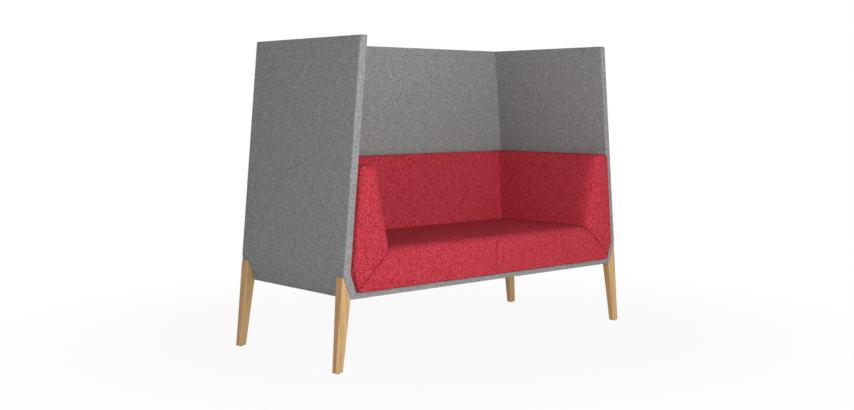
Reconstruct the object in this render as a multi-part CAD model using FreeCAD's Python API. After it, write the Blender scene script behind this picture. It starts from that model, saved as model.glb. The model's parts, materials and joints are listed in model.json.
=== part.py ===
import FreeCAD, Part
import itertools
import math
import os
from FreeCAD import Vector

# High-backed two-seat sofa. Millimetres, +Z up, the seat faces -Y, left is -X.
# The origin is on the floor under the middle of the overall box.

# Shell of grey panels
overall_height = 1200.0
top_width = 1330.0          # outside, across the tops of the side panels
side_lean = 5.55            # degrees, each side panel leans in towards its top
bend_height = 348.0         # where a side panel turns in towards the base
bend_radius = 60.0
corner_inset = 34.3         # lower corner of the shell, inwards from the bend
shell_underside = 261.0
shell_depth = 664.0
panel_thickness = 30.0
base_thickness = 22.0
panel_edge_radius = 5.0

# Red seat tub
pad_top_height = 740.0      # arms and back end at one height
pad_proud = 18.0            # the red fronts stand this far out of the shell
seat_height = 436.0
arm_rim_thickness = 82.0    # arm at its top edge, from the grey side panel inwards
back_rim_thickness = 68.4   # back pad at its top edge, from the grey back panel forwards
arm_lean = 10.9             # degrees, the arms open towards the top
back_lean = 14.5
seam_slope = 42.6           # degrees, front seam between an arm and the seat, down from the seat corner
crest_radius = 36.0         # front edges of the arms and of the seat
rim_radius = 14.0           # top edges of the arms and of the back

# Upholstery layers
cover_thickness = 1.2
cover_clearance = 0.3
panel_foam = 6.0
base_foam = 4.5
arm_foam = 22.0
back_foam = 40.0
rim_foam = 16.0
facing_foam = 24.0
fit = 0.4                   # play between upholstered parts

# Tub frame
rib_thickness = 18.0
board_thickness = 6.0
rail_thickness = 22.0
seat_rail_height = 62.0
centre_rail_height = 40.0
rail_section = 30.0
strap_width = 50.0
strap_thickness = 2.0
felt_thickness = 5.0
corner_block_leg = 60.0
lengthways_straps = 8
crossways_straps = 4
arm_rib_count = 3
back_rib_count = 4

# Legs
leg_top_height = 342.0
leg_proud = 2.0             # outer leg face stands this far out of the side panel
leg_setback = 6.0           # front leg face sits this far behind the panel edge
leg_foot_width = 34.0
leg_foot_depth = 20.0
leg_top_depth = 37.0
leg_edge_radius = 1.5
glide_radius = 8.0
glide_thickness = 3.0
glide_pin_radius = 1.5
glide_pin_length = 15.0

# Fasteners
bolt_radius = 3.0
bolt_head_radius = 6.0
bolt_head_height = 3.3
bolt_clearance = 0.3
bolt_reach_in_leg = 13.0
leg_bolt_shares = (0.21, 0.55)          # leg bolts up the slanting lower corner of the shell
washer_radius = 7.0
washer_thickness = 1.5
insert_radius = 4.5
insert_length = 12.0
insert_clearance = 0.1
connector_shares = (0.18, 0.53, 0.88)   # connector bolts up the height of the back panel
connector_reach = 30.0
barrel_nut_radius = 5.0
barrel_nut_length = 12.0
barrel_nut_offset = 22.0
screw_radius = 2.0
screw_head_radius = 4.0
screw_head_height = 2.5
screw_length = 45.0
screws_per_seat_rail = 3
spline_thickness = 4.0
spline_width = 12.0

# Values that follow from the sizes above
foam_depth = cover_thickness + cover_clearance
board_depth = foam_depth + panel_foam
facing = foam_depth + facing_foam
overall_depth = shell_depth + pad_proud
pad_front = -overall_depth / 2
shell_front = pad_front + pad_proud
shell_rear = shell_front + shell_depth
shell_middle = (shell_front + shell_rear) / 2
back_panel_front = shell_rear - panel_thickness
base_top = shell_underside + base_thickness
seat_rail_top = base_top + seat_rail_height
strap_top = seat_rail_top + 2 * strap_thickness
seat_foam_bottom = strap_top + felt_thickness
bend_x = top_width / 2 + (overall_height - bend_height) * math.tan(math.radians(side_lean))
reach = 50.0                # how far cutting blocks run past what they cut
overrun = 1.0               # how far a drilled hole runs past each face it opens in
same_point = 1e-4


# Flat faces as half-spaces: an outward unit normal and a distance along it

def face_through(normal, point):
    unit = normal * (1 / normal.Length)
    return unit, unit.dot(point)


def inset(face, depth):
    normal, distance = face
    return normal, distance - depth


def flipped(face):
    normal, distance = face
    return normal * -1, -distance


def mirrored_face(face):
    normal, distance = face
    return Vector(-normal.x, normal.y, normal.z), distance


def below(height):
    return Vector(0, 0, 1), height


def above(height):
    return Vector(0, 0, -1), -height


def behind(y):
    return Vector(0, -1, 0), -y


def before(y):
    return Vector(0, 1, 0), y


def left_of(x):
    return Vector(1, 0, 0), x


def right_of(x):
    return Vector(-1, 0, 0), -x


def x_on(face, height):
    """Where a face that runs front to back crosses a height."""
    normal, distance = face
    return (distance - normal.z * height) / normal.x


def y_on(face, height):
    """Where a face that runs side to side crosses a height."""
    normal, distance = face
    return (distance - normal.z * height) / normal.y


def lies_on(point, face):
    normal, distance = face
    return abs(normal.dot(point) - distance) < same_point


# Solids

def polygon_face(face, corners):
    """The face's own polygon: its corners in order round their centre."""
    ring = [corner for corner in corners if lies_on(corner, face)]
    if len(ring) < 3:
        return None
    centre = sum(ring, Vector()) * (1 / len(ring))
    across = (ring[0] - centre).normalize()
    up = face[0].cross(across)
    ring.sort(key=lambda corner: math.atan2((corner - centre).dot(up), (corner - centre).dot(across)))
    return Part.Face(Part.makePolygon(ring + ring[:1]))


def edges_on(solid, *faces):
    """Edges whose ends lie on every one of the given faces."""
    return [edge for edge in solid.Edges
            if all(lies_on(vertex.Point, face) for vertex in edge.Vertexes for face in faces)]


def block(faces, rounds=None):
    """Convex solid inside all the faces; rounds gives the radius of the edge between two of them."""
    corners = []
    for (a, da), (b, db), (c, dc) in itertools.combinations(faces.values(), 3):
        spread = a.dot(b.cross(c))
        if abs(spread) < same_point:
            continue
        corner = (b.cross(c) * da + c.cross(a) * db + a.cross(b) * dc) * (1 / spread)
        inside = all(normal.dot(corner) < distance + same_point for normal, distance in faces.values())
        if inside and all((corner - other).Length > same_point for other in corners):
            corners.append(corner)
    polygons = [polygon_face(face, corners) for face in faces.values()]
    solid = Part.makeSolid(Part.makeShell([polygon for polygon in polygons if polygon]))
    for (first, second), radius in (rounds or {}).items():
        solid = solid.makeFillet(radius, edges_on(solid, faces[first], faces[second]))
    return solid


def box(x_range, y_range, z_range):
    size = [high - low for low, high in (x_range, y_range, z_range)]
    return Part.makeBox(*size, Vector(x_range[0], y_range[0], z_range[0]))


def rod(start, direction, radius, length):
    return Part.makeCylinder(radius, length, start, direction)


def mirrored(shape):
    """The same shape on the other side, left for right."""
    return shape.mirror(Vector(), Vector(1, 0, 0))


def both_sides(shapes):
    return shapes + [mirrored(shape) for shape in shapes]


def front_and_rear(shape):
    return [shape, shape.mirror(Vector(0, shell_middle, 0), Vector(0, 1, 0))]


def spread_over(low, high, count):
    """Even places from low to high, both ends included."""
    step = (high - low) / (count - 1)
    return [low + step * index for index in range(count)]


# Shared faces of the right side

side_face = face_through(
    Vector(math.cos(math.radians(side_lean)), 0, math.sin(math.radians(side_lean))),
    Vector(top_width / 2, 0, overall_height))
shell_corner = Vector(bend_x - corner_inset, 0, shell_underside)
chamfer_line = Vector(bend_x, 0, bend_height) - shell_corner
chamfer_face = face_through(Vector(chamfer_line.z, 0, -chamfer_line.x), shell_corner)
arm_rim = x_on(inset(side_face, panel_thickness), pad_top_height) - arm_rim_thickness
arm_face = face_through(
    Vector(-math.cos(math.radians(arm_lean)), 0, math.sin(math.radians(arm_lean))),
    Vector(arm_rim, 0, pad_top_height))
back_rim = back_panel_front - back_rim_thickness
back_face = face_through(
    Vector(0, -math.cos(math.radians(back_lean)), math.sin(math.radians(back_lean))),
    Vector(0, back_rim, pad_top_height))
shell_inner_corner = Vector(x_on(inset(chamfer_face, panel_thickness), base_top), 0, base_top)
mitre_line = shell_inner_corner - shell_corner
base_mitre = face_through(Vector(mitre_line.z, 0, -mitre_line.x), shell_corner)
seat_corner = Vector(x_on(arm_face, seat_height), 0, seat_height)
pad_corner = Vector(x_on(inset(chamfer_face, panel_thickness + fit), base_top), 0, base_top)
seam_face = face_through(
    Vector(math.sin(math.radians(seam_slope)), 0, math.cos(math.radians(seam_slope))), seat_corner)


# Grey shell, each function gives the panel with its surface taken down by depth

def side_panel(depth):
    """Right side panel, from its top edge round the bend to the mitre with the base."""
    outside_faces = {
        "side": inset(side_face, depth),
        "chamfer": inset(chamfer_face, depth),
        "mitre": flipped(base_mitre),
        "top": below(overall_height - depth),
        "front": behind(shell_front + depth),
        "rear": before(shell_rear - depth),
        "middle": right_of(0),
    }
    outside = block(outside_faces, {("side", "chamfer"): bend_radius - depth})
    inner_depth = panel_thickness - depth
    hollow = block({
        "side": inset(side_face, inner_depth),
        "chamfer": inset(chamfer_face, inner_depth),
        "top": below(overall_height + reach),
        "front": behind(shell_front - reach),
        "rear": before(shell_rear + reach),
        "bottom": above(0),
        "middle": right_of(-reach),
    }, {("side", "chamfer"): bend_radius - inner_depth})
    panel = outside.cut(hollow)
    if depth >= panel_edge_radius:
        return panel
    mitre_edges = edges_on(panel, outside_faces["mitre"])
    rim = [edge for name in ("front", "rear", "top") for edge in edges_on(panel, outside_faces[name])
           if not any(edge.isSame(other) for other in mitre_edges)]
    return panel.makeFillet(panel_edge_radius - depth, rim)


def base_panel(depth, bottom_depth):
    """Panel under the seat, open on top, mitred to the side panels."""
    return block({
        "right": base_mitre,
        "left": mirrored_face(base_mitre),
        "bottom": above(shell_underside + bottom_depth),
        "top": below(base_top),
        "front": behind(shell_front + depth),
        "rear": before(shell_rear - depth),
    })


def back_panel(depth):
    """High panel behind the seat, between the side panels, standing on the base."""
    right_side = inset(side_face, panel_thickness + fit + depth)
    right_chamfer = inset(chamfer_face, panel_thickness + fit + depth)
    bend = bend_radius - panel_thickness - fit - depth
    return block({
        "right": right_side,
        "left": mirrored_face(right_side),
        "right_chamfer": right_chamfer,
        "left_chamfer": mirrored_face(right_chamfer),
        "bottom": above(base_top),
        "top": below(overall_height - depth),
        "front": behind(back_panel_front + depth),
        "rear": before(shell_rear - depth),
    }, {("right", "right_chamfer"): bend, ("left", "left_chamfer"): bend})


# Red tub, again with the surface taken down by depth

def seam_wedge():
    """Room below the slanting front seam: lower corner of the arm front that the seat front covers."""
    return block({
        "seam": seam_face,
        "chamfer": inset(chamfer_face, panel_thickness + fit),
        "front": behind(pad_front - reach),
        "rear": before(pad_front + facing),
        "bottom": above(base_top),
        "middle": right_of(0),
    })


def arm_pad(depth):
    """Right arm, open below and behind, without the corner that the seat front covers."""
    pad = block({
        "side": inset(side_face, panel_thickness + fit + depth),
        "chamfer": inset(chamfer_face, panel_thickness + fit + depth),
        "inner": inset(arm_face, depth),
        "top": below(pad_top_height - depth),
        "front": behind(pad_front + depth),
        "rear": before(back_panel_front - fit),
        "bottom": above(base_top),
    }, {
        ("side", "chamfer"): bend_radius - panel_thickness - fit - depth,
        ("front", "inner"): crest_radius - depth,
        ("front", "top"): rim_radius - depth,
    })
    return pad.cut(seam_wedge())


def back_pad(depth):
    """Back between the arms, open below and behind."""
    right_end = inset(flipped(arm_face), fit + depth)
    return block({
        "front": inset(back_face, depth),
        "top": below(pad_top_height - depth),
        "right": right_end,
        "left": mirrored_face(right_end),
        "rear": before(back_panel_front - fit),
        "bottom": above(base_top),
    }, {("front", "top"): rim_radius - depth})


def seat_pad(depth):
    """Seat between the arms with its wider front, open below, behind and at the ends."""
    right_end = inset(flipped(arm_face), fit)
    slab = block({
        "top": below(seat_height - depth),
        "front": behind(pad_front + depth),
        "rear": inset(flipped(back_face), fit),
        "right": left_of(pad_corner.x + reach),
        "left": right_of(-pad_corner.x - reach),
        "bottom": above(base_top),
    }, {("top", "front"): crest_radius - depth})
    between_arms = block({
        "right": right_end,
        "left": mirrored_face(right_end),
        "top": below(seat_height + reach),
        "front": behind(pad_front - reach),
        "rear": before(shell_rear),
        "bottom": above(base_top),
    })
    front_corners = both_sides([seam_wedge()])
    return slab.common(between_arms.fuse(front_corners)).removeSplitter()


# Room for the tub frame behind the padding

arm_board_face = inset(arm_face, foam_depth + arm_foam)
arm_rib_face = inset(arm_board_face, board_thickness)
back_board_face = inset(back_face, foam_depth + back_foam)
back_rib_face = inset(back_board_face, board_thickness)
frame_front = pad_front + facing
frame_rear = back_panel_front - fit
frame_top = pad_top_height - foam_depth - rim_foam
arm_outer_depth = panel_thickness + fit + foam_depth
back_frame_end = x_on(arm_face, base_top) - fit - foam_depth


def arm_slice(inner, front, rear, bottom=base_top, top=frame_top):
    """Right arm frame between two places front to rear, bounded inside by a given face."""
    faces = {
        "side": inset(side_face, arm_outer_depth),
        "chamfer": inset(chamfer_face, arm_outer_depth),
        "inner": inner,
        "front": behind(front),
        "rear": before(rear),
        "bottom": above(bottom),
        "top": below(top),
    }
    return block(faces)


def arm_rib_places():
    return spread_over(frame_front, frame_rear - rib_thickness, arm_rib_count)


def arm_ribs():
    return [arm_slice(arm_rib_face, y, y + rib_thickness).cut(arm_bend_relief()) for y in arm_rib_places()]


def arm_bend_relief():
    """Sharp corner that the rounded bend of the side panel leaves no room for."""
    faces = {
        "side": inset(side_face, arm_outer_depth),
        "chamfer": inset(chamfer_face, arm_outer_depth),
        "inner": right_of(0),
        "front": behind(shell_front - reach),
        "rear": before(shell_rear),
        "bottom": above(base_top),
        "top": below(pad_top_height),
    }
    rounded = block(faces, {("side", "chamfer"): bend_radius - arm_outer_depth})
    return block(faces).cut(rounded)


def arm_board():
    board = arm_slice(arm_board_face, frame_front, frame_rear)
    return board.cut(arm_slice(arm_rib_face, frame_front - reach, frame_rear + reach, 0, frame_top + reach))


def arm_rails(bottom):
    """Rails between the arm ribs, one section high above the given height."""
    places = arm_rib_places()
    inner = x_on(arm_rib_face, bottom + rail_section)
    outer = inner + rail_section
    return [box((inner, outer), (front + rib_thickness, rear), (bottom, bottom + rail_section))
            for front, rear in zip(places, places[1:])]


def arm_padding():
    room = arm_slice(arm_board_face, frame_front, frame_rear + reach, 0, frame_top)
    sideways_room = room.fuse(room.translated(Vector(reach, 0, 0)))
    return arm_pad(foam_depth).cut(sideways_room)


def back_rib_places():
    return spread_over(-back_frame_end, back_frame_end - rib_thickness, back_rib_count)


def back_slice(front, left, right, bottom=base_top, top=frame_top):
    return block({
        "front": front,
        "rear": before(frame_rear),
        "left": right_of(left),
        "right": left_of(right),
        "bottom": above(bottom),
        "top": below(top),
    })


def back_ribs():
    return [back_slice(back_rib_face, x, x + rib_thickness) for x in back_rib_places()]


def back_board():
    board = back_slice(back_board_face, -back_frame_end, back_frame_end)
    behind_board = back_slice(back_rib_face, -top_width, top_width, 0, frame_top + reach)
    return board.cut(behind_board)


def back_rails(bottom):
    places = back_rib_places()
    front = y_on(back_rib_face, bottom + rail_section)
    rear = min(front + rail_section, frame_rear)
    return [box((left + rib_thickness, right), (front, rear), (bottom, bottom + rail_section))
            for left, right in zip(places, places[1:])]


def back_padding():
    room = back_slice(back_board_face, -top_width, top_width, 0, frame_top)
    return back_pad(foam_depth).cut(room.fuse(room.translated(Vector(0, reach, 0))))


# Seat frame

seat_rail_end = back_frame_end
rear_rail_rear = y_on(back_face, base_top) - fit - foam_depth
front_rail_rear = frame_front + rail_thickness
rear_rail_front = rear_rail_rear - rail_thickness


def cross_rail(front):
    return box((-seat_rail_end, seat_rail_end), (front, front + rail_thickness), (base_top, seat_rail_top))


def side_rail():
    """Right seat side rail, one strap higher so that the crossing straps lie level."""
    return box((seat_rail_end - rail_thickness, seat_rail_end), (front_rail_rear, rear_rail_front),
               (base_top, seat_rail_top + strap_thickness))


def centre_rail():
    return box((-rail_thickness / 2, rail_thickness / 2), (front_rail_rear, rear_rail_front),
               (base_top, base_top + centre_rail_height))


def corner_block(y_corner, y_sign):
    """Three-sided glue block in a right corner of the seat frame."""
    x_corner = seat_rail_end - rail_thickness
    outline = [Vector(x_corner, y_corner, base_top), Vector(x_corner - corner_block_leg, y_corner, base_top),
               Vector(x_corner, y_corner + y_sign * corner_block_leg, base_top)]
    profile = Part.Face(Part.makePolygon(outline + outline[:1]))
    return profile.extrude(Vector(0, 0, seat_rail_height - strap_thickness))


def seat_straps_lengthways():
    half = seat_rail_end - rail_thickness - strap_width
    return [box((x - strap_width / 2, x + strap_width / 2), (frame_front, rear_rail_rear),
                (seat_rail_top, seat_rail_top + strap_thickness))
            for x in spread_over(-half, half, lengthways_straps)]


def seat_straps_crossways():
    low = front_rail_rear + strap_width
    high = rear_rail_front - strap_width
    return [box((-seat_rail_end, seat_rail_end), (y - strap_width / 2, y + strap_width / 2),
                (seat_rail_top + strap_thickness, strap_top))
            for y in spread_over(low, high, crossways_straps)]


def seat_felt():
    return box((-seat_rail_end, seat_rail_end), (frame_front, rear_rail_rear), (strap_top, seat_foam_bottom))


def seat_padding():
    room = box((-top_width, top_width), (frame_front, shell_rear), (0, seat_foam_bottom))
    return seat_pad(foam_depth).cut(room)


# Legs

def leg():
    """Front right leg: outer face in line with the side panel, inner face against the chamfer."""
    foot_outer = x_on(inset(side_face, -leg_proud), 0)
    foot_inner = Vector(foot_outer - leg_foot_width, 0, 0)
    inner_line = shell_corner - foot_inner
    front = shell_front + leg_setback
    taper = (leg_top_depth - leg_foot_depth) / leg_top_height
    faces = {
        "outer": inset(side_face, -leg_proud),
        "inner": face_through(Vector(-inner_line.z, 0, inner_line.x), foot_inner),
        "chamfer": flipped(chamfer_face),
        "front": behind(front),
        "rear": face_through(Vector(0, 1, -taper), Vector(0, front + leg_foot_depth, 0)),
        "top": below(leg_top_height),
        "bottom": above(glide_thickness),
    }
    corners = [("outer", "front"), ("outer", "rear"), ("inner", "front"), ("inner", "rear")]
    return block(faces, {corner: leg_edge_radius for corner in corners})


def glide_place():
    foot_outer = x_on(inset(side_face, -leg_proud), 0)
    return Vector(foot_outer - leg_foot_width / 2, shell_front + leg_setback + leg_foot_depth / 2, 0)


def glide(play=0.0):
    disc = rod(glide_place(), Vector(0, 0, 1), glide_radius, glide_thickness)
    pin = rod(glide_place(), Vector(0, 0, 1), glide_pin_radius + play, glide_thickness + glide_pin_length)
    return disc.fuse(pin).removeSplitter()


# Fasteners

def leg_bolt_places():
    """Middles of the front right leg's two bolts, on the chamfer's outer face."""
    middle_y = shell_front + leg_setback + (leg_foot_depth + leg_top_depth) / 4
    return [shell_corner + chamfer_line * share + Vector(0, middle_y, 0) for share in leg_bolt_shares]


def on_chamfer(place, depth):
    """The point that lies depth below the chamfer's outer face at a place on it."""
    return place - chamfer_face[0] * depth


washer_depth = panel_thickness - board_depth
head_depth = washer_depth + washer_thickness


def leg_bolt(place):
    outwards = chamfer_face[0]
    shank = rod(on_chamfer(place, head_depth), outwards, bolt_radius, head_depth + bolt_reach_in_leg)
    head_start = on_chamfer(place, head_depth + bolt_head_height)
    head = rod(head_start, outwards, bolt_head_radius, bolt_head_height)
    return shank.fuse(head).removeSplitter()


def leg_washer(place):
    start = on_chamfer(place, head_depth)
    plate = rod(start, chamfer_face[0], washer_radius, washer_thickness)
    return plate.cut(rod(start, chamfer_face[0], bolt_radius + bolt_clearance, washer_thickness))


def leg_insert(place):
    tube = rod(place, chamfer_face[0], insert_radius, insert_length)
    return tube.cut(rod(place, chamfer_face[0], bolt_radius + insert_clearance, insert_length))


def leg_insert_hole(place):
    return rod(on_chamfer(place, overrun), chamfer_face[0], insert_radius + insert_clearance,
               bolt_reach_in_leg + 2 * overrun)


def leg_bolt_hole(place):
    """Clearance for the shank through the panel, and for the head and washer in its inner foam."""
    shank = rod(on_chamfer(place, washer_depth + overrun), chamfer_face[0], bolt_radius + bolt_clearance,
                washer_depth + 2 * overrun)
    room = rod(on_chamfer(place, panel_thickness - foam_depth), chamfer_face[0],
               washer_radius + bolt_clearance, panel_foam)
    return shank.fuse(room)


def connector_places():
    """Where the connector bolts cross the right side panel's outer face."""
    y = shell_rear - panel_thickness / 2
    heights = [base_top + share * (overall_height - base_top) for share in connector_shares]
    return [Vector(x_on(side_face, height), y, height) for height in heights]


connector_end = panel_thickness + fit + board_depth + connector_reach
barrel_depth = panel_thickness + fit + board_depth + barrel_nut_offset


def connector_bolt(place, play=0.0):
    inwards = side_face[0] * -1
    head_start = place + inwards * (board_depth - bolt_head_height)
    head = rod(head_start, inwards, bolt_head_radius + play, bolt_head_height)
    shank_length = connector_end - board_depth + play
    shank = rod(place + inwards * board_depth, inwards, bolt_radius + play, shank_length)
    return head.fuse(shank).removeSplitter()


def barrel_nut(place, play=0.0):
    middle = place - side_face[0] * barrel_depth
    start = middle - Vector(0, barrel_nut_length / 2 + play, 0)
    nut = rod(start, Vector(0, 1, 0), barrel_nut_radius + play, barrel_nut_length + 2 * play)
    if play:
        return nut
    return nut.cut(connector_bolt(place, insert_clearance))


def base_screw(place, play=0.0):
    """Countersunk screw up through the base board, its head level with the board's underside."""
    start = Vector(place.x, place.y, shell_underside + foam_depth + base_foam)
    upwards = Vector(0, 0, 1)
    head = Part.makeCone(screw_head_radius + play, screw_radius + play, screw_head_height, start, upwards)
    return head.fuse(rod(start, upwards, screw_radius + play, screw_length + play)).removeSplitter()


def middle_of(solid):
    return solid.BoundBox.Center


def base_screw_places():
    rails = both_sides(arm_rails(base_top)) + back_rails(base_top)
    places = [middle_of(rail) for rail in rails]
    for rail in (cross_rail(frame_front), cross_rail(rear_rail_front)):
        middle = middle_of(rail)
        offsets = spread_over(-seat_rail_end / 2, seat_rail_end / 2, screws_per_seat_rail)
        places += [middle + Vector(offset, 0, 0) for offset in offsets]
    return places


def mitre_spline(play=0.0):
    """Thin strip let into both boards across the right mitre."""
    board_low = shell_underside + foam_depth + base_foam
    middle_height = (board_low + base_top) / 2
    middle = shell_corner + mitre_line * ((middle_height - shell_underside) / mitre_line.z)
    across = base_mitre[0]
    along = mitre_line * (1 / mitre_line.Length)
    return block({
        "into_side": face_through(across, middle + across * (spline_width / 2 + play)),
        "into_base": face_through(across * -1, middle - across * (spline_width / 2 + play)),
        "upper": face_through(along, middle + along * (spline_thickness / 2 + play)),
        "lower": face_through(along * -1, middle - along * (spline_thickness / 2 + play)),
        "front": behind(shell_front + board_depth),
        "rear": before(shell_rear - board_depth),
    })


# The parts by name

def drilled(solids):
    """The solids with the holes for the base screws."""
    holes = [base_screw(place, insert_clearance) for place in base_screw_places()]
    return [solid.cut(holes) for solid in solids]


def shell_parts():
    leg_places = leg_bolt_places()
    leg_holes = [hole for place in leg_places for hole in front_and_rear(leg_bolt_hole(place))]
    connector_holes = [connector_bolt(place, bolt_clearance) for place in connector_places()]
    side_holes = leg_holes + connector_holes
    side_cover = side_panel(0).cut(side_panel(cover_thickness)).cut(side_holes)
    side_foam = side_panel(foam_depth).cut(side_panel(board_depth)).cut(side_holes)
    side_board = side_panel(board_depth).cut(side_holes + [mitre_spline(insert_clearance)])
    back_holes = both_sides(connector_holes)
    nut_holes = both_sides([barrel_nut(place, insert_clearance) for place in connector_places()])
    base_board = base_panel(board_depth, foam_depth + base_foam)
    spline_grooves = both_sides([mitre_spline(insert_clearance)])
    sides = {"panel_cover": side_cover, "panel_foam": side_foam, "side_board": side_board,
             "mitre_spline": mitre_spline()}
    parts = {
        "base_cover": base_panel(0, 0).cut(base_panel(cover_thickness, cover_thickness)),
        "base_foam": base_panel(foam_depth, foam_depth).cut(base_board),
        "base_board": drilled([base_board.cut(spline_grooves)])[0],
        "back_panel_cover": back_panel(0).cut(back_panel(cover_thickness)).cut(back_holes),
        "back_panel_foam": back_panel(foam_depth).cut(back_panel(board_depth)).cut(back_holes),
        "back_panel_board": back_panel(board_depth).cut(back_holes + nut_holes),
    }
    return sides, parts


def tub_parts():
    seat_cover = seat_pad(0).cut(seat_pad(cover_thickness))
    right_half = box((0, top_width), (-shell_depth, shell_depth), (0, overall_height))
    sides = {
        "arm_cover": arm_pad(0).cut(arm_pad(cover_thickness)),
        "arm_foam": arm_padding(),
        "arm_board": arm_board(),
        "arm_ribs": Part.makeCompound(arm_ribs()),
        "arm_top_rails": Part.makeCompound(arm_rails(frame_top - rail_section)),
        "arm_base_rails": Part.makeCompound(drilled(arm_rails(base_top))),
        "seat_cover": seat_cover.common(right_half),
        "seat_side_rail": side_rail(),
    }
    corner_blocks = [corner_block(front_rail_rear, 1), corner_block(rear_rail_front, -1)]
    parts = {
        "back_cover": back_pad(0).cut(back_pad(cover_thickness)),
        "back_foam": back_padding(),
        "back_board": back_board(),
        "back_ribs": Part.makeCompound(back_ribs()),
        "back_top_rails": Part.makeCompound(back_rails(frame_top - rail_section)),
        "back_base_rails": Part.makeCompound(drilled(back_rails(base_top))),
        "seat_foam": seat_padding(),
        "seat_felt": seat_felt(),
        "seat_straps_lengthways": Part.makeCompound(seat_straps_lengthways()),
        "seat_straps_crossways": Part.makeCompound(seat_straps_crossways()),
        "seat_front_rail": drilled([cross_rail(frame_front)])[0],
        "seat_rear_rail": drilled([cross_rail(rear_rail_front)])[0],
        "seat_centre_rail": centre_rail(),
        "seat_corner_blocks": Part.makeCompound(both_sides(corner_blocks)),
    }
    return sides, parts


def at_each_leg(shapes):
    """The front right leg's fittings, repeated on all the legs."""
    return Part.makeCompound([copy for shape in shapes for copy in both_sides(front_and_rear(shape))])


def leg_parts():
    places = leg_bolt_places()
    holes = [leg_insert_hole(place) for place in places] + [glide(insert_clearance)]
    front_leg, rear_leg = front_and_rear(leg().cut(holes))
    sides = {"front_leg": front_leg, "rear_leg": rear_leg}
    parts = {
        "leg_bolts": at_each_leg([leg_bolt(place) for place in places]),
        "leg_washers": at_each_leg([leg_washer(place) for place in places]),
        "leg_inserts": at_each_leg([leg_insert(place) for place in places]),
        "leg_glides": at_each_leg([glide()]),
    }
    return sides, parts


def fastener_parts():
    places = connector_places()
    return {}, {
        "connector_bolts": Part.makeCompound(both_sides([connector_bolt(place) for place in places])),
        "barrel_nuts": Part.makeCompound(both_sides([barrel_nut(place) for place in places])),
        "base_screws": Part.makeCompound([base_screw(place) for place in base_screw_places()]),
    }


def write(name, shape):
    shape.exportStep("parts/" + name + ".step")


os.makedirs("parts", exist_ok=True)
for make_parts in (shell_parts, tub_parts, leg_parts, fastener_parts):
    side_shapes, middle_shapes = make_parts()
    for name, shape in side_shapes.items():
        write("right_" + name, shape)
        write("left_" + name, mirrored(shape))
    for name, shape in middle_shapes.items():
        write(name, shape)
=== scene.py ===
import itertools
import json
import math

import bmesh
import bpy
import numpy as np
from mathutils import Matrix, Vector


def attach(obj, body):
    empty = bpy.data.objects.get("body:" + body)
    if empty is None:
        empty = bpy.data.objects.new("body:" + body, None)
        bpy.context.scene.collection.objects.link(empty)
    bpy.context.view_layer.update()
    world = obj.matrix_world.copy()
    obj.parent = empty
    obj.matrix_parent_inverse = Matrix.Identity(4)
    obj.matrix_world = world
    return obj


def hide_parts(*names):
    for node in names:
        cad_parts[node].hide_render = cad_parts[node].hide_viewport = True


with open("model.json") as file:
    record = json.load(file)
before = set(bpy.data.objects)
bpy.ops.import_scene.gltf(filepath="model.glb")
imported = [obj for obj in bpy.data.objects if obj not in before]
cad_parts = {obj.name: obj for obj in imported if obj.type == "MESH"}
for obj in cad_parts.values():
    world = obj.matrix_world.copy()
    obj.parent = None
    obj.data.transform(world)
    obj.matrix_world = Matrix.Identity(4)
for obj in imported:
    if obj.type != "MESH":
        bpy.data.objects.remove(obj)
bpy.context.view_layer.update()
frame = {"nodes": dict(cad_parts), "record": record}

# High-backed two-seat sofa. Metres, +Z up, the seat faces -Y, left is -X.

# Main sizes, the same as in the part
overall_height = 1.200
top_width = 1.330                   # outside, across the tops of the side panels
side_lean = math.radians(5.55)      # each side panel leans in towards its top
bend_height = 0.348                 # where a side panel turns in towards the base
bend_radius = 0.060
corner_inset = 0.0343               # lower corner of the shell, inwards from the bend
shell_underside = 0.261
shell_front = -0.323
shell_rear = 0.341
panel_thickness = 0.030
base_thickness = 0.022
pad_front = -0.341                  # the red fronts stand out of the shell
pad_top = 0.740                     # arms and back end at one height
seat_height = 0.436
seat_half_width = 0.539             # along the top of the seat, from the middle to an arm
seat_rear = 0.164                   # where the top of the seat meets the back
arm_lean = math.radians(10.9)       # the arms open towards the top
back_lean = math.radians(14.5)
seam_slope = math.radians(42.6)     # front seam between an arm and the seat, down from the seat corner
facing_depth = 0.025                # padding in front of the frame
base_top = shell_underside + base_thickness
back_panel_front = shell_rear - panel_thickness

# Radii of the rounded edges
panel_edge_radius = 0.005
panel_outer_radius = 0.0065         # outer front edge of a side panel
panel_inner_radius = 0.002          # inner edges of the side panels, and the base
mitre_radius = 0.0012               # between a side panel and the base
crest_radius = 0.036                # front edges of the arms and of the seat
rim_radius = 0.014                  # top edges of the arms and of the back
rear_radius = 0.020                 # top edges of the pads, next to the grey panels
outer_radius = 0.016                # front edges of the pads, next to the side panels
lower_radius = 0.010                # front edge of the seat, next to the base
join_radius = 0.010                 # top of the seat, next to the arms and the back
seam_radius = 0.005
middle_radius = 0.0035              # upright seam in the middle of the seat

# Room between the pieces
gap = 0.0003
seam_gap = 0.0010
side_gap = 0.0015                   # pads to side panels
lower_gap = 0.0006                  # seat to base
facing_draw = 0.003                 # the red fronts are drawn in this far from the side panels
facing_draw_run = 0.006             # depth over which the draw comes in
facing_draw_reach = 0.040           # distance from the side panels at which the draw ends
arm_top_fall = math.radians(0.5)    # the tops of the pads fall a little towards the grey panels
back_top_fall = math.radians(3.0)

# How finely the padding is cut up
cell = 0.022
fillet_steps = 5                    # most cuts on each side of a rounded edge
fillet_cell = 0.0015                # small roundings have one cut for this much of their radius
closest_cut = 0.0007
shortest_edge = 0.0002
touching = 1e-6
tiny = 1e-9
nearly_parallel = 0.999

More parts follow.
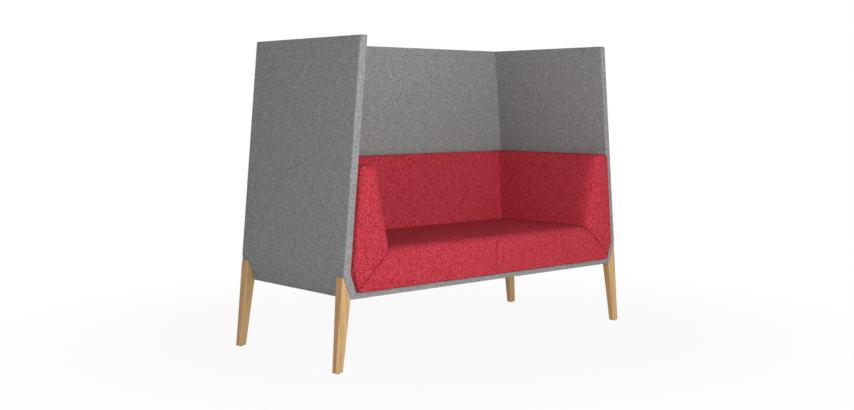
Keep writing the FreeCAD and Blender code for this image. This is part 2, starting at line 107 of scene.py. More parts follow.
# How the padding swells
pad_swell = 0.006
panel_swell = 0.002
held_margin = 0.006                 # the cover is held this far from a seam
held_slope = 0.030                  # and free this much further on
soft_depth = 0.0005                 # points this near to a soft side belong to it
swell_frames = 20
panel_fill = 0.9                    # how tightly the covers are filled, 0 is slack and 1 is tight
pad_fill = 0.85

# How the cloth is woven
thread_pitch = 0.0018
thread_relief = 0.0004
drift_scale = 160.0                 # slow wander of the threads
drift_share = 0.8
fuzz_scale = 1300.0                 # fuzzy edges of the threads
fuzz_share = 0.5
fibre_scale_along = 900.0           # fibres lie along their thread
fibre_scale_across = 4500.0
crossing_share = 0.6                # tone that a whole crossing shares
fibre_share = 0.4                   # tone of single fibres

# Light and camera
horizon_glow = 0.62
zenith_glow = 0.06
shadow_start = 0.6                  # the floor runs out into white between these distances
shadow_end = 2.2
shadow_white = 0.91                 # share of plain white under the sofa
floor_reach = 30.0
camera_place = (-3.2000, -3.5258, 0.9564)
camera_dip = 0.0878
camera_turn = -0.7263
camera_lens = 48.46
camera_sensor = 36.0

UP = (0, 0, 1)
DOWN = (0, 0, -1)
FRONT = (0, -1, 0)
REAR = (0, 1, 0)
WHITE = (1.0, 1.0, 1.0)


# Flat sides: an outward direction and a distance from the origin along it

def side(point, normal):
    """The flat side through a point."""
    normal = np.array(normal, float)
    normal /= np.linalg.norm(normal)
    return normal, float(normal @ np.array(point, float))


def moved_in(flat, depth):
    normal, distance = flat
    return normal, distance - depth


def facing_back(flat):
    normal, distance = flat
    return -normal, -distance


def mirrored_side(flat):
    """The same side on the left."""
    normal, distance = flat
    return normal * np.array([-1.0, 1.0, 1.0]), distance


# Solids between flat sides

def corners_between(sides):
    """The points where three sides meet and that no other side cuts off."""
    found = []
    for three in itertools.combinations(sides.values(), 3):
        normals = np.array([flat[0] for flat in three])
        if abs(np.linalg.det(normals)) < touching:
            continue
        corner = np.linalg.solve(normals, [flat[1] for flat in three])
        inside = all(normal @ corner < distance + touching for normal, distance in sides.values())
        if inside and not any(np.allclose(corner, other, atol=touching) for other in found):
            found.append(corner)
    return found


def solid_between(sides):
    """A closed mesh bounded by flat sides."""
    mesh = bmesh.new()
    corners = corners_between(sides)
    points = [mesh.verts.new(corner) for corner in corners]
    for normal, distance in sides.values():
        ring = [i for i, corner in enumerate(corners) if abs(normal @ corner - distance) < touching]
        middle = sum(corners[i] for i in ring) / len(ring)
        across = corners[ring[0]] - middle
        along = np.cross(normal, across)
        ring.sort(key=lambda i: math.atan2((corners[i] - middle) @ along, (corners[i] - middle) @ across))
        mesh.faces.new([points[i] for i in ring])
    return mesh


def cut(mesh, normal, distance):
    """Cuts all faces along a plane and keeps both halves."""
    everything = mesh.verts[:] + mesh.edges[:] + mesh.faces[:]
    bmesh.ops.bisect_plane(mesh, geom=everything, dist=touching, plane_co=normal * distance, plane_no=normal)


def cut_into_cells(mesh, sides, names):
    """Even cuts alongside the named sides, right through the solid."""
    corners = np.array([point.co[:] for point in mesh.verts])
    for name in names:
        normal, distance = sides[name]
        reach = distance - (corners @ normal).min()
        count = max(1, round(reach / cell))
        for step in range(1, count):
            cut(mesh, normal, distance - reach * step / count)


# Rounded edges: two sides, or a rounded edge and a side, and a radius

def names_in(edge):
    """The names of the sides that meet in a rounded edge."""
    if isinstance(edge, str):
        return [edge]
    return names_in(edge[0]) + names_in(edge[1])


def cut_for_rounding(mesh, sides, rounds):
    """Cuts close to each edge that will be rounded, closer together towards the edge."""
    depths = {}
    for edge in sorted(rounds, key=lambda edge: -edge[2]):
        radius = edge[2]
        steps = max(1, min(fillet_steps, round(radius / fillet_cell)))
        for name in names_in(edge):
            made = depths.setdefault(name, [])
            for step in range(steps):
                depth = radius * (1.0 - math.tan(math.pi / 4.0 * step / steps))
                if all(abs(depth - other) > closest_cut for other in made):
                    made.append(depth)
    for name, made in depths.items():
        normal, distance = sides[name]
        for depth in made:
            cut(mesh, normal, distance - depth)


def depth_under(points, sides, edge):
    """How deep points lie under a flat side or under a rounded edge, and which way is out."""
    if isinstance(edge, str):
        normal, distance = sides[edge]
        return distance - points @ normal, np.tile(normal, (len(points), 1))
    first, second, radius = edge
    depth_a, out_a = depth_under(points, sides, first)
    depth_b, out_b = depth_under(points, sides, second)

    # The spoke runs from the middle of the rounding to the point
    lean = np.clip((out_a * out_b).sum(axis=1), -nearly_parallel, nearly_parallel)
    reach_a = radius - depth_a
    reach_b = radius - depth_b
    share_a = (reach_a - lean * reach_b) / (1.0 - lean ** 2)
    share_b = (reach_b - lean * reach_a) / (1.0 - lean ** 2)
    spoke = share_a[:, None] * out_a + share_b[:, None] * out_b
    length = np.maximum(np.linalg.norm(spoke, axis=1), tiny)

    on_edge = (share_a > 0.0) & (share_b > 0.0)
    nearer = np.where((depth_a < depth_b)[:, None], out_a, out_b)
    depth = np.where(on_edge, radius - length, np.minimum(depth_a, depth_b))
    out = np.where(on_edge[:, None], spoke / length[:, None], nearer)
    return depth, out


def press_in(points, sides, edge):
    """Takes points that stand outside a rounded edge back to it."""
    depth, out = depth_under(points, sides, edge)
    outside = np.minimum(depth, 0.0)
    return points + out * outside[:, None]


# Padded pieces

def free_share(points, sides, soft):
    """0 where the cover is held, at seams and on hidden sides, rising to 1 in the open."""
    if not soft:
        return np.zeros(len(points))
    depths = {name: distance - points @ normal for name, (normal, distance) in sides.items()}
    nearest = np.min([np.abs(depths[name]) for name in soft], axis=0)
    from_seam = np.min([depths[name] for name in sides if name not in soft], axis=0)
    rise = np.clip((from_seam - held_margin) / held_slope, 0.0, 1.0)
    return np.where(nearest < soft_depth, rise, 0.0)


def padded_mesh(sides, rounds, cells, soft, shape):
    """A solid with rounded edges, whose points know how free they are to swell."""
    mesh = solid_between(sides)
    cut_into_cells(mesh, sides, cells)
    cut_for_rounding(mesh, sides, rounds)
    points = np.array([point.co[:] for point in mesh.verts])
    free = free_share(points, sides, soft)
    for edge in rounds:
        points = press_in(points, sides, edge)
    if shape is not None:
        points = shape(points)
    share = mesh.verts.layers.float.new("free")
    for point, place, value in zip(mesh.verts, points, free):
        point.co = place
        point[share] = value
    bmesh.ops.dissolve_degenerate(mesh, edges=mesh.edges, dist=shortest_edge)
    bmesh.ops.recalc_face_normals(mesh, faces=mesh.faces)
    return mesh


def add_cloth(piece, held):
    """Cloth under pressure, without weight, held where the group says."""
    cover = piece.modifiers.new("cover", "CLOTH")
    cover.settings.quality = 6
    cover.settings.mass = 0.3
    cover.settings.tension_stiffness = 25.0
    cover.settings.compression_stiffness = 25.0
    cover.settings.shear_stiffness = 10.0
    cover.settings.bending_stiffness = 1.0
    cover.settings.use_pressure = True
    cover.settings.uniform_pressure_force = 4.0
    cover.settings.vertex_group_mass = held.name
    cover.settings.effector_weights.gravity = 0.0
    cover.collision_settings.use_collision = False
    return cover


def swell(piece, free, most):
    """Blows the padding up under its cover, until its furthest point has moved by the most allowed."""
    held = piece.vertex_groups.new(name="held")
    for index, share in enumerate(free):
        held.add([index], 1.0 - share, "REPLACE")
    cover = add_cloth(piece, held)
    scene = bpy.context.scene
    for number in range(1, swell_frames + 1):
        scene.frame_set(number)
    graph = bpy.context.evaluated_depsgraph_get()
    result = piece.evaluated_get(graph).data
    start = np.array([point.co[:] for point in piece.data.vertices])
    moved = np.array([point.co[:] for point in result.vertices]) - start
    furthest = np.linalg.norm(moved, axis=1).max()
    places = start + moved * min(1.0, most / furthest)
    piece.modifiers.remove(cover)
    piece.vertex_groups.remove(held)
    for point, place in zip(piece.data.vertices, places):
        point.co = place
    scene.frame_set(1)


def put_in_scene(name, data):
    thing = bpy.data.objects.new(name, data)
    bpy.context.scene.collection.objects.link(thing)
    return thing


def pad(name, sides, rounds, cells, soft=(), most=pad_swell, shape=None):
    """A padded piece: a solid between flat sides with rounded edges and swollen faces."""
    mesh = padded_mesh(sides, rounds, cells, soft, shape)
    data = bpy.data.meshes.new(name)
    mesh.to_mesh(data)
    mesh.free()
    data.shade_smooth()
    piece = put_in_scene(name, data)
    if soft:
        swell(piece, [value.value for value in data.attributes["free"].data], most)
    data.attributes.remove(data.attributes["free"])
    return piece


def mirrored(piece, name):
    """The same piece on the left."""
    data = piece.data.copy()
    data.name = name
    mesh = bmesh.new()
    mesh.from_mesh(data)
    for point in mesh.verts:
        point.co.x = -point.co.x
    bmesh.ops.reverse_faces(mesh, faces=mesh.faces)
    mesh.to_mesh(data)
    mesh.free()
    return put_in_scene(name, data)


# The flat sides that the pieces share, on the right

bend_half_width = top_width / 2 + (overall_height - bend_height) * math.tan(side_lean)
corner_half_width = bend_half_width - corner_inset

outer_side = side((top_width / 2, 0, overall_height), (math.cos(side_lean), 0, math.sin(side_lean)))
outer_chamfer = side((bend_half_width, 0, bend_height), (bend_height - shell_underside, 0, -corner_inset))
inner_side = moved_in(outer_side, panel_thickness)
inner_chamfer = moved_in(outer_chamfer, panel_thickness)

corner = np.array([corner_half_width, 0, shell_underside])
inner_corner_x = (inner_chamfer[1] - inner_chamfer[0][2] * base_top) / inner_chamfer[0][0]
inner_corner = np.array([inner_corner_x, 0, base_top])
mitre_run = inner_corner - corner
mitre_face = side(corner, (mitre_run[2], 0, -mitre_run[0]))

arm_face = side((seat_half_width, 0, seat_height), (-math.cos(arm_lean), 0, math.sin(arm_lean)))
back_face = side((0, seat_rear, seat_height), (0, -math.cos(back_lean), math.sin(back_lean)))
seam_face = side((seat_half_width, 0, seat_height), (math.sin(seam_slope), 0, math.cos(seam_slope)))
arm_top_inner = seat_half_width + (pad_top - seat_height) * math.tan(arm_lean)
back_top_front = seat_rear + (pad_top - seat_height) * math.tan(back_lean)


# The grey shell

def make_side_panel():
    """One long slab, made flat from its top edge downwards and bent near its lower end."""
    turn = side_lean + math.atan2(corner_inset, bend_height - shell_underside)
    tangent = bend_radius * math.tan(turn / 2)
    upper = (overall_height - bend_height) / math.cos(side_lean) - tangent
    arc = bend_radius * turn
    lower = math.hypot(bend_height - shell_underside, corner_inset) - tangent
    length = upper + arc + lower

    down_upper = np.array([math.sin(side_lean), 0, -math.cos(side_lean)])
    down_lower = np.array([math.sin(side_lean - turn), 0, -math.cos(side_lean - turn)])
    top = np.array([top_width / 2, 0, overall_height])
    centre = top + upper * down_upper - bend_radius * outer_side[0]
    mitre_rise = (mitre_run @ -down_lower) / panel_thickness

    def bent(points):
        run = -points[:, 2]
        under = -points[:, 0]
        angle = side_lean - np.clip((run - upper) / bend_radius, 0.0, turn)
        down = np.stack([np.sin(angle), 0 * angle, -np.cos(angle)], axis=1)
        out = np.stack([np.cos(angle), 0 * angle, np.sin(angle)], axis=1)
        straight = np.minimum(run - upper, 0.0) + np.maximum(run - upper - arc, 0.0)
        place = centre + out * (bend_radius - under)[:, None] + down * straight[:, None]
        place[:, 1] = points[:, 1]
        return place

    sides = {
        "outer": side((0, 0, 0), (1, 0, 0)),
        "inner": side((-panel_thickness, 0, 0), (-1, 0, 0)),
        "top": side((0, 0, 0), (math.sin(side_lean), 0, math.cos(side_lean))),
        "mitre": side((0, 0, -length), (-mitre_rise, 0, -1)),
        "front": side((0, shell_front, 0), FRONT),
        "rear": side((0, shell_rear, 0), REAR),
    }
    outer_top = ("outer", "top", panel_edge_radius)
    inner_top = ("inner", "top", panel_edge_radius)
    rounds = [
        outer_top,
        inner_top,
        (outer_top, "front", panel_outer_radius),
        (outer_top, "rear", panel_edge_radius),
        (inner_top, "front", panel_inner_radius),
        (inner_top, "rear", panel_inner_radius),
        ("outer", "mitre", mitre_radius),
        ("front", "mitre", mitre_radius),
    ]
    return pad("right_panel", sides, rounds, ["front", "top"], ["outer"], panel_swell, bent)


def make_back_panel():
    """The panel that stands between the side panels."""
    right = moved_in(inner_side, gap)
    right_chamfer = moved_in(inner_chamfer, gap)
    sides = {
        "front": side((0, back_panel_front, 0), FRONT),
        "rear": side((0, shell_rear, 0), REAR),
        "top": side((0, 0, overall_height), UP),
        "bottom": side((0, 0, base_top + gap), DOWN),
        "right": right,
        "left": mirrored_side(right),
        "right_chamfer": right_chamfer,
        "left_chamfer": mirrored_side(right_chamfer),
    }
    rounds = [
        ("front", "top", panel_edge_radius),
        ("rear", "top", panel_edge_radius),
        ("rear", "right", seam_radius),
        ("rear", "left", seam_radius),
        ("top", "right", seam_radius),
        ("top", "left", seam_radius),
        ("rear", "bottom", seam_radius),
    ]
    return pad("back_panel", sides, rounds, ["top", "right"], ["rear"], panel_swell)


def make_base_panel():
    """The thin panel under the seat, mitred to the side panels."""
    right = moved_in(mitre_face, gap)
    sides = {
        "top": side((0, 0, base_top), UP),
        "bottom": side((0, 0, shell_underside), DOWN),
        "front": side((0, shell_front, 0), FRONT),
        "rear": side((0, shell_rear, 0), REAR),
        "right": right,
        "left": mirrored_side(right),
    }
    rounds = [
        ("front", "bottom", panel_inner_radius),
        ("rear", "bottom", panel_inner_radius),
        ("front", "top", panel_inner_radius),
        ("rear", "top", panel_inner_radius),
        ("front", "right", mitre_radius),
        ("front", "left", mitre_radius),
        ("bottom", "right", mitre_radius),
        ("bottom", "left", mitre_radius),
    ]
    return pad("base_panel", sides, rounds, ["front"])


# The red upholstery

def drawn_in(points):
    """In front of its frame the cover is drawn in a little from the grey panels."""
    ahead = np.clip((pad_front + facing_depth - points[:, 1]) / facing_draw_run, 0.0, 1.0)
    places = points.copy()
    for normal, distance in (inner_side, inner_chamfer):
        near = np.clip(1.0 - (distance - points @ normal) / facing_draw_reach, 0.0, 1.0)
        places -= (facing_draw * ahead * near)[:, None] * normal
    return places


def make_arm():
    """The right arm, whose front ends below in the slanting seam to the seat."""
    sides = {
        "front": side((0, pad_front, 0), FRONT),
        "inner": moved_in(arm_face, gap),
        "top": side((arm_top_inner, 0, pad_top), (math.sin(arm_top_fall), 0, math.cos(arm_top_fall))),
        "side": moved_in(inner_side, side_gap),
        "chamfer": moved_in(inner_chamfer, side_gap),
        "seam": moved_in(facing_back(seam_face), seam_gap),
        "rear": side((0, back_panel_front - gap, 0), REAR),
    }
    crest = ("front", "inner", crest_radius)
    rounds = [
        crest,
        (crest, "top", rim_radius),
        ("front", "side", outer_radius),
        ("front", "chamfer", outer_radius),
        ("top", "side", rear_radius),
        ("top", "rear", rear_radius),
        (crest, "seam", seam_radius),
    ]
    return pad("right_arm", sides, rounds, ["front", "top", "inner"], ["inner", "front"], shape=drawn_in)


def make_seat_half():
    """The right half of the seat, from the middle seam to the arm."""
    sides = {
        "top": side((0, 0, seat_height), UP),
        "front": side((0, pad_front, 0), FRONT),
        "seam": moved_in(seam_face, seam_gap),
        "chamfer": moved_in(inner_chamfer, side_gap),
        "bottom": side((0, 0, base_top + lower_gap), DOWN),
        "middle": side((seam_gap / 2, 0, 0), (-1, 0, 0)),
        "rear": moved_in(facing_back(back_face), gap),
    }
    crest = ("front", "top", crest_radius)
    rounds = [
        crest,
        (crest, "middle", middle_radius),
        ("top", "seam", join_radius),
        (crest, "seam", seam_radius),
        ("top", "rear", join_radius),
        ("front", "chamfer", outer_radius),
        ("front", "bottom", lower_radius),
    ]

    def tucked(points):
        """Behind the facing the seat is only as wide as the arms leave it."""
        normal, distance = moved_in(facing_back(arm_face), gap)
        over = np.maximum(points @ normal - distance, 0.0)
        behind = points[:, 1] > pad_front + facing_depth
        return drawn_in(points - np.where(behind, over, 0.0)[:, None] * normal)

    return pad("right_seat", sides, rounds, ["middle", "front", "top"], ["top", "front"], shape=tucked)


def make_back():
    """The back pad between the arms, leaning back."""
    right = moved_in(facing_back(arm_face), gap)
    sides = {
        "front": moved_in(back_face, gap),
        "top": side((0, back_top_front, pad_top), (0, math.sin(back_top_fall), math.cos(back_top_fall))),
        "rear": side((0, back_panel_front - gap, 0), REAR),
        "bottom": side((0, 0, base_top + gap), DOWN),
        "right": right,
        "left": mirrored_side(right),
    }
    rim = ("front", "top", rim_radius)
    rounds = [
        rim,
        ("top", "rear", rear_radius),
        (rim, "right", seam_radius),
        (rim, "left", seam_radius),
    ]
    return pad("back", sides, rounds, ["top", "right"], ["front"])


# Nodes of the materials

def new_material(name):
    """An empty material, its node tree and its shader."""
    material = bpy.data.materials.new(name)
    material.use_nodes = True
    tree = material.node_tree
    tree.nodes.clear()
    output = tree.nodes.new("ShaderNodeOutputMaterial")
    shader = tree.nodes.new("ShaderNodeBsdfPrincipled")
    tree.links.new(shader.outputs[0], output.inputs["Surface"])
    return material, tree, shader


def set_gloss(shader, roughness, specular=0.5, metal=0.0):
    shader.inputs["Roughness"].default_value = roughness
    shader.inputs["Specular IOR Level"].default_value = specular
    shader.inputs["Metallic"].default_value = metal


def noise(tree, scale, detail=2.0, stretch=(1, 1, 1), roughness=0.5):
    """Cloudy noise fixed to the object."""
    place = tree.nodes.new("ShaderNodeTexCoord")
    mapping = tree.nodes.new("ShaderNodeMapping")
    mapping.inputs["Scale"].default_value = stretch
    texture = tree.nodes.new("ShaderNodeTexNoise")
    texture.inputs["Scale"].default_value = scale
    texture.inputs["Detail"].default_value = detail
    texture.inputs["Roughness"].default_value = roughness
    tree.links.new(place.outputs["Object"], mapping.inputs["Vector"])
    tree.links.new(mapping.outputs["Vector"], texture.inputs["Vector"])
    return texture.outputs["Fac"]


def ramp(tree, value, stops):
    """A colour that follows a value from stop to stop."""
    node = tree.nodes.new("ShaderNodeValToRGB")
    tree.links.new(value, node.inputs["Fac"])
    elements = node.color_ramp.elements
    for element, (place, colour) in zip(elements, (stops[0], stops[-1])):
        element.position = place
        element.color = (*colour, 1.0)
    for place, colour in stops[1:-1]:
        element = elements.new(place)
        element.color = (*colour, 1.0)
    return node.outputs["Color"]


def multiplied(tree, first, second):
    """One colour darkened by another."""
    node = tree.nodes.new("ShaderNodeMix")
    node.data_type = "RGBA"
    node.blend_type = "MULTIPLY"
    node.inputs["Factor"].default_value = 1.0
    tree.links.new(first, node.inputs["A"])
    tree.links.new(second, node.inputs["B"])
    return node.outputs["Result"]


def bump(tree, shader, height, distance, strength=1.0):
    node = tree.nodes.new("ShaderNodeBump")
    node.inputs["Strength"].default_value = strength
    node.inputs["Distance"].default_value = distance
    tree.links.new(height, node.inputs["Height"])
    tree.links.new(node.outputs["Normal"], shader.inputs["Normal"])


def scaled(colour, factor):
    return tuple(min(1.0, part * factor) for part in colour)


def calculated(tree, operation, first, second=0.0):
    """The result of one sum on sockets or plain numbers."""
    node = tree.nodes.new("ShaderNodeMath")
    node.operation = operation
    for value, socket in zip((first, second), node.inputs):
        if isinstance(value, float):
            socket.default_value = value
        else:
            tree.links.new(value, socket)
    return node.outputs[0]


def chosen(tree, share, first, second):
    """The first number where the share is 0, the second where it is 1."""
    node = tree.nodes.new("ShaderNodeMix")
    tree.links.new(share, node.inputs["Factor"])
    tree.links.new(first, node.inputs["A"])
    tree.links.new(second, node.inputs["B"])
    return node.outputs["Result"]


def eased(tree, value, start, end, first, last, curve="LINEAR"):
    """A number that goes from first to last while the value goes from start to end."""
    node = tree.nodes.new("ShaderNodeMapRange")
    node.interpolation_type = curve
    node.inputs["From Min"].default_value = start
    node.inputs["From Max"].default_value = end
    node.inputs["To Min"].default_value = first
    node.inputs["To Max"].default_value = last
    tree.links.new(value, node.inputs["Value"])
    return node.outputs["Result"]


def parted(tree, vector):
    node = tree.nodes.new("ShaderNodeSeparateXYZ")
    tree.links.new(vector, node.inputs[0])
    return node.outputs["X"], node.outputs["Y"], node.outputs["Z"]


def joined(tree, x, y):
    node = tree.nodes.new("ShaderNodeCombineXYZ")
    tree.links.new(x, node.inputs["X"])
    tree.links.new(y, node.inputs["Y"])
    return node.outputs[0]


def facing(tree):
    """How far a surface faces along X, Y and Z, forwards or backwards."""
    normal = tree.nodes.new("ShaderNodeNewGeometry").outputs["Normal"]
    return [calculated(tree, "ABSOLUTE", part) for part in parted(tree, normal)]


# Woven cloth

def on_the_cloth(tree):
    """Where a point is on the cloth in metres, across and along, seen square on to its side."""
    x, y, z = parted(tree, tree.nodes.new("ShaderNodeTexCoord").outputs["Object"])
    out_x, out_y, out_z = facing(tree)
    sideways = calculated(tree, "GREATER_THAN", out_x, calculated(tree, "MAXIMUM", out_y, out_z))
    level = calculated(tree, "GREATER_THAN", out_z, calculated(tree, "MAXIMUM", out_x, out_y))
    return chosen(tree, sideways, x, y), chosen(tree, level, z, y)


def thread_places(tree, across, along):
    """Places counted in threads. Threads wander from their straight lines and have fuzzy edges."""
    drift = calculated(tree, "MULTIPLY", noise(tree, drift_scale), drift_share * thread_pitch)
    fuzz = calculated(tree, "MULTIPLY", noise(tree, fuzz_scale), fuzz_share * thread_pitch)
    wander = calculated(tree, "ADD", drift, fuzz)
    column = calculated(tree, "DIVIDE", calculated(tree, "ADD", across, wander), thread_pitch)
    row = calculated(tree, "DIVIDE", calculated(tree, "ADD", along, wander), thread_pitch)
    return column, row


def plain_weave(tree, column, row):
    """1 where the upright thread is on top and 0 where the level one is, and the hump of each crossing."""
    across_wave = calculated(tree, "SINE", calculated(tree, "MULTIPLY", column, math.pi))
    along_wave = calculated(tree, "SINE", calculated(tree, "MULTIPLY", row, math.pi))
    upright = calculated(tree, "GREATER_THAN", calculated(tree, "MULTIPLY", across_wave, along_wave), 0.0)
    width_wave = calculated(tree, "ABSOLUTE", chosen(tree, upright, along_wave, across_wave))
    length_wave = calculated(tree, "ABSOLUTE", chosen(tree, upright, across_wave, along_wave))
    steep = calculated(tree, "POWER", width_wave, 0.7)
    gentle = calculated(tree, "POWER", length_wave, 0.3)
    return upright, calculated(tree, "MULTIPLY", steep, gentle)


def stretched_noise(tree, across, along, scale_across, scale_along):
    texture = tree.nodes.new("ShaderNodeTexNoise")
    texture.inputs["Scale"].default_value = 1.0
    texture.inputs["Detail"].default_value = 2.0
    wide = calculated(tree, "MULTIPLY", across, scale_across)
    high = calculated(tree, "MULTIPLY", along, scale_along)
    tree.links.new(joined(tree, wide, high), texture.inputs["Vector"])
    return texture.outputs["Fac"]


def fibres_on_top(tree, upright, across, along):
    """Fine streaks along whichever thread is on top."""
    on_level = stretched_noise(tree, across, along, fibre_scale_along, fibre_scale_across)
    on_upright = stretched_noise(tree, across, along, fibre_scale_across, fibre_scale_along)
    return chosen(tree, upright, on_level, on_upright)


def crossing_tone(tree, column, row):
    """One random tone for each crossing."""
    texture = tree.nodes.new("ShaderNodeTexWhiteNoise")
    texture.noise_dimensions = "2D"
    whole = joined(tree, calculated(tree, "FLOOR", column), calculated(tree, "FLOOR", row))
    tree.links.new(whole, texture.inputs["Vector"])
    return texture.outputs["Value"]


def make_fabric(name, dark, middle, light):
    """Wool-like cloth in plain weave, spun from darker and lighter fibres, with painted shade at the edges of
    each crossing.
    """
    material, tree, shader = new_material(name)
    across, along = on_the_cloth(tree)
    column, row = thread_places(tree, across, along)
    upright, hump = plain_weave(tree, column, row)
    fibres = calculated(tree, "MULTIPLY", fibres_on_top(tree, upright, across, along), fibre_share)
    crossing = calculated(tree, "MULTIPLY", crossing_tone(tree, column, row), crossing_share)
    blend = calculated(tree, "ADD", crossing, fibres)
    tone = ramp(tree, blend, [(0.25, dark), (0.5, middle), (0.75, light)])
    # painted shade: each crossing is darker towards its edges, where the threads dip under each other
    painted_thread_shade = ramp(tree, hump, [(0.0, scaled(WHITE, 0.6)), (0.7, WHITE)])
    tree.links.new(multiplied(tree, tone, painted_thread_shade), shader.inputs["Base Color"])
    set_gloss(shader, roughness=0.95, specular=0.12)
    bump(tree, shader, calculated(tree, "ADD", hump, fibres), thread_relief)
    return material


# Wood and plain stuff

def make_wood(name, dark, light, along):
    """Lacquered wood with straight grain along one direction, and painted shade that makes the faces turned
    along X darker and warmer than the front.
    """
    material, tree, shader = new_material(name)
    stretch = [1.0, 1.0, 1.0]
    stretch["XYZ".index(along)] = 0.05
    pores = noise(tree, scale=520.0, detail=3.0, stretch=stretch, roughness=0.6)
    lines = noise(tree, scale=130.0, stretch=stretch)
    tone = ramp(tree, lines, [(0.32, dark), (0.5, light), (0.66, scaled(light, 1.06))])
    streaks = ramp(tree, pores, [(0.30, (0.84, 0.80, 0.76)), (0.44, WHITE)])
    # painted shade: faces turned along X get a darker, warmer tint than the front faces
    painted_side_shade = ramp(tree, facing(tree)[0], [(0.3, WHITE), (0.7, (0.94, 0.79, 0.62))])
    wood = multiplied(tree, multiplied(tree, tone, streaks), painted_side_shade)
    tree.links.new(wood, shader.inputs["Base Color"])
    set_gloss(shader, roughness=0.38)
    bump(tree, shader, pores, distance=0.0002, strength=0.5)
    return material


def make_speckled(name, colour, contrast, scale, roughness, metal=0.0, depth=0.0003):
    """Plain stuff with a fine uneven tone: foam, felt, straps, plastic or plated steel."""
    material, tree, shader = new_material(name)
    specks = noise(tree, scale, detail=3.0)
    tone = ramp(tree, specks, [(0.3, scaled(colour, 1.0 - contrast)), (0.7, scaled(colour, 1.0 + contrast))])
    tree.links.new(tone, shader.inputs["Base Color"])
    set_gloss(shader, roughness, metal=metal)
    bump(tree, shader, specks, depth)
    return material


materials = {
    "grey_fabric": make_fabric(
        "grey_fabric",
        dark=(0.180, 0.182, 0.182),
        middle=(0.329, 0.333, 0.333),
        light=(0.519, 0.525, 0.525),
    ),
    "red_fabric": make_fabric(
        "red_fabric",
        dark=(0.32, 0.004, 0.008),
        middle=(0.56, 0.034, 0.052),
        light=(0.80, 0.110, 0.150),
    ),
    "oak": make_wood("oak", (0.47, 0.285, 0.115), (0.59, 0.375, 0.165), along="Z"),
    "beech": make_wood("beech", (0.50, 0.34, 0.20), (0.62, 0.45, 0.29), along="X"),
    "plywood": make_wood("plywood", (0.46, 0.33, 0.20), (0.60, 0.46, 0.30), along="Y"),
    "foam": make_speckled("foam", (0.75, 0.70, 0.52), contrast=0.10, scale=700.0, roughness=0.95),
    "felt": make_speckled("felt", (0.45, 0.44, 0.42), contrast=0.25, scale=500.0, roughness=0.95),
    "webbing": make_speckled("webbing", (0.10, 0.10, 0.11), contrast=0.30, scale=900.0, roughness=0.80),
    "zinc_steel": make_speckled(
        "zinc_steel", (0.62, 0.63, 0.65), contrast=0.06, scale=300.0, roughness=0.35, metal=1.0, depth=0.00005
    ),
    "glide_plastic": make_speckled(
        "glide_plastic", (0.05, 0.05, 0.05), contrast=0.20, scale=900.0, roughness=0.45, depth=0.00005
    ),
}


# The pieces, dressed

def dress(piece, slot):
    piece.data.materials.clear()
    piece.data.materials.append(materials[slot])


def upholster(piece, slot, fill, *nodes):
    """Puts a padded piece in the place of its plain cover and foam."""
    dress(piece, slot)
    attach(piece, "root")
    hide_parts(*nodes)


right_panel = make_side_panel()
left_panel = mirrored(right_panel, "left_panel")
right_arm = make_arm()
left_arm = mirrored(right_arm, "left_arm")
right_seat = make_seat_half()
left_seat = mirrored(right_seat, "left_seat")
back = make_back()
back_panel = make_back_panel()
base_panel = make_base_panel()

upholster(right_panel, "grey_fabric", panel_fill, "right_panel_cover", "right_panel_foam")
upholster(left_panel, "grey_fabric", panel_fill, "left_panel_cover", "left_panel_foam")
upholster(back_panel, "grey_fabric", panel_fill, "back_panel_cover", "back_panel_foam")
upholster(base_panel, "grey_fabric", panel_fill, "base_cover", "base_foam")
upholster(right_arm, "red_fabric", pad_fill, "right_arm_cover", "right_arm_foam")
upholster(left_arm, "red_fabric", pad_fill, "left_arm_cover", "left_arm_foam")
upholster(right_seat, "red_fabric", pad_fill, "right_seat_cover", "seat_foam")
upholster(left_seat, "red_fabric", pad_fill, "left_seat_cover")
upholster(back, "red_fabric", pad_fill, "back_cover", "back_foam")

# The nodes that stay as they are get the finish that the record names for them
for subpart in frame["record"]["subparts"]:
    dress(frame["nodes"][subpart["node"]], subpart["material_slot"])


# Floor, light and camera

def seen_directly(tree):
    """1 for what the camera, a reflection or a see-through surface looks at, else 0."""
    path = tree.nodes.new("ShaderNodeLightPath")
    seen = path.outputs["Is Camera Ray"]
    for kind in ("Is Glossy Ray", "Is Transmission Ray"):
        seen = calculated(tree, "MAXIMUM", seen, path.outputs[kind])
    return seen


def make_floor_material():
    """White that keeps the shadow near the sofa and runs out into the white ground."""
    material, tree, shader = new_material("floor")
    shader.inputs["Base Color"].default_value = (0.85, 0.85, 0.85, 1.0)
    set_gloss(shader, roughness=0.9, specular=0.0)
    away = tree.nodes.new("ShaderNodeVectorMath")
    away.operation = "LENGTH"
    tree.links.new(tree.nodes.new("ShaderNodeTexCoord").outputs["Object"], away.inputs[0])
    distance = away.outputs["Value"]
    white_share = eased(tree, distance, shadow_start, shadow_end, shadow_white, 1.0, "SMOOTHSTEP")
    white = tree.nodes.new("ShaderNodeEmission")
    white.inputs["Color"].default_value = (*WHITE, 1.0)
    white.inputs["Strength"].default_value = 1.0
    both = tree.nodes.new("ShaderNodeMixShader")
    tree.links.new(calculated(tree, "MULTIPLY", white_share, seen_directly(tree)), both.inputs["Fac"])
    tree.links.new(shader.outputs[0], both.inputs[1])
    tree.links.new(white.outputs[0], both.inputs[2])
    output = next(node for node in tree.nodes if node.type == "OUTPUT_MATERIAL")
    tree.links.new(both.outputs[0], output.inputs["Surface"])
    return material


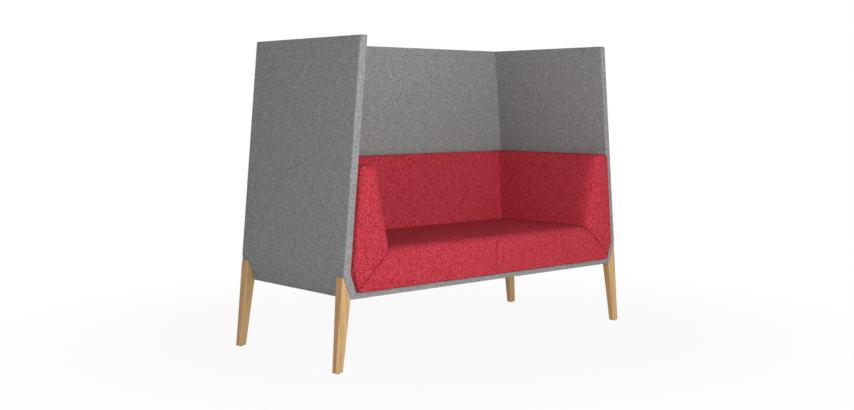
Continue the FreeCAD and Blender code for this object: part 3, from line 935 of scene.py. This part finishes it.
def make_floor():
    """A wide flat square under the sofa."""
    far = floor_reach
    corners = [(-far, -far, 0), (far, -far, 0), (far, far, 0), (-far, far, 0)]
    data = bpy.data.meshes.new("floor")
    data.from_pydata(corners, [], [(0, 1, 2, 3)])
    data.materials.append(make_floor_material())
    floor = put_in_scene("floor", data)


def make_world():
    """White all round, at full strength where it is seen and softer where it lights."""
    world = bpy.data.worlds.new("studio")
    world.use_nodes = True
    tree = world.node_tree
    background = tree.nodes["Background"]
    background.inputs["Color"].default_value = (*WHITE, 1.0)
    direction = tree.nodes.new("ShaderNodeTexCoord").outputs["Generated"]
    height = parted(tree, direction)[2]
    glow = eased(tree, height, 0.0, 1.0, horizon_glow, zenith_glow)
    strength = calculated(tree, "MAXIMUM", seen_directly(tree), glow)
    tree.links.new(strength, background.inputs["Strength"])
    bpy.context.scene.world = world


def make_lamp(name, place, aim, size, power):
    """A soft rectangular lamp, turned towards its aim."""
    data = bpy.data.lights.new(name, "AREA")
    data.shape = "RECTANGLE"
    data.size = size[0]
    data.size_y = size[1]
    data.energy = power
    lamp = put_in_scene(name, data)
    lamp.location = place
    lamp.rotation_euler = (Vector(aim) - Vector(place)).to_track_quat("-Z", "Y").to_euler()


def make_camera():
    """A camera where the photo was taken from."""
    data = bpy.data.cameras.new("camera")
    data.lens = camera_lens
    data.sensor_width = camera_sensor
    camera = put_in_scene("camera", data)
    camera.location = camera_place
    camera.rotation_euler = (math.pi / 2 - camera_dip, 0.0, camera_turn)
    bpy.context.scene.camera = camera


make_floor()
make_world()
make_lamp("front_light", place=(-0.75, -3.6, 1.2), aim=(0.0, 0.0, 0.6), size=(1.2, 1.6), power=66.0)
make_lamp("left_light", place=(-3.3, -1.6, 1.6), aim=(0.4, 0.0, 0.7), size=(1.2, 1.2), power=20.0)
make_lamp("top_light", place=(-0.5, -1.6, 2.6), aim=(0.2, 0.0, 0.6), size=(1.2, 1.2), power=3.5)
make_lamp("rear_light", place=(1.2, 3.6, 0.9), aim=(0.0, 0.0, 0.6), size=(2.0, 1.0), power=40.0)
make_lamp("right_light", place=(3.0, -3.4, 0.8), aim=(0.0, 0.0, 0.4), size=(1.6, 1.4), power=9.0)
make_camera()
bpy.context.scene.view_settings.view_transform = "Standard"
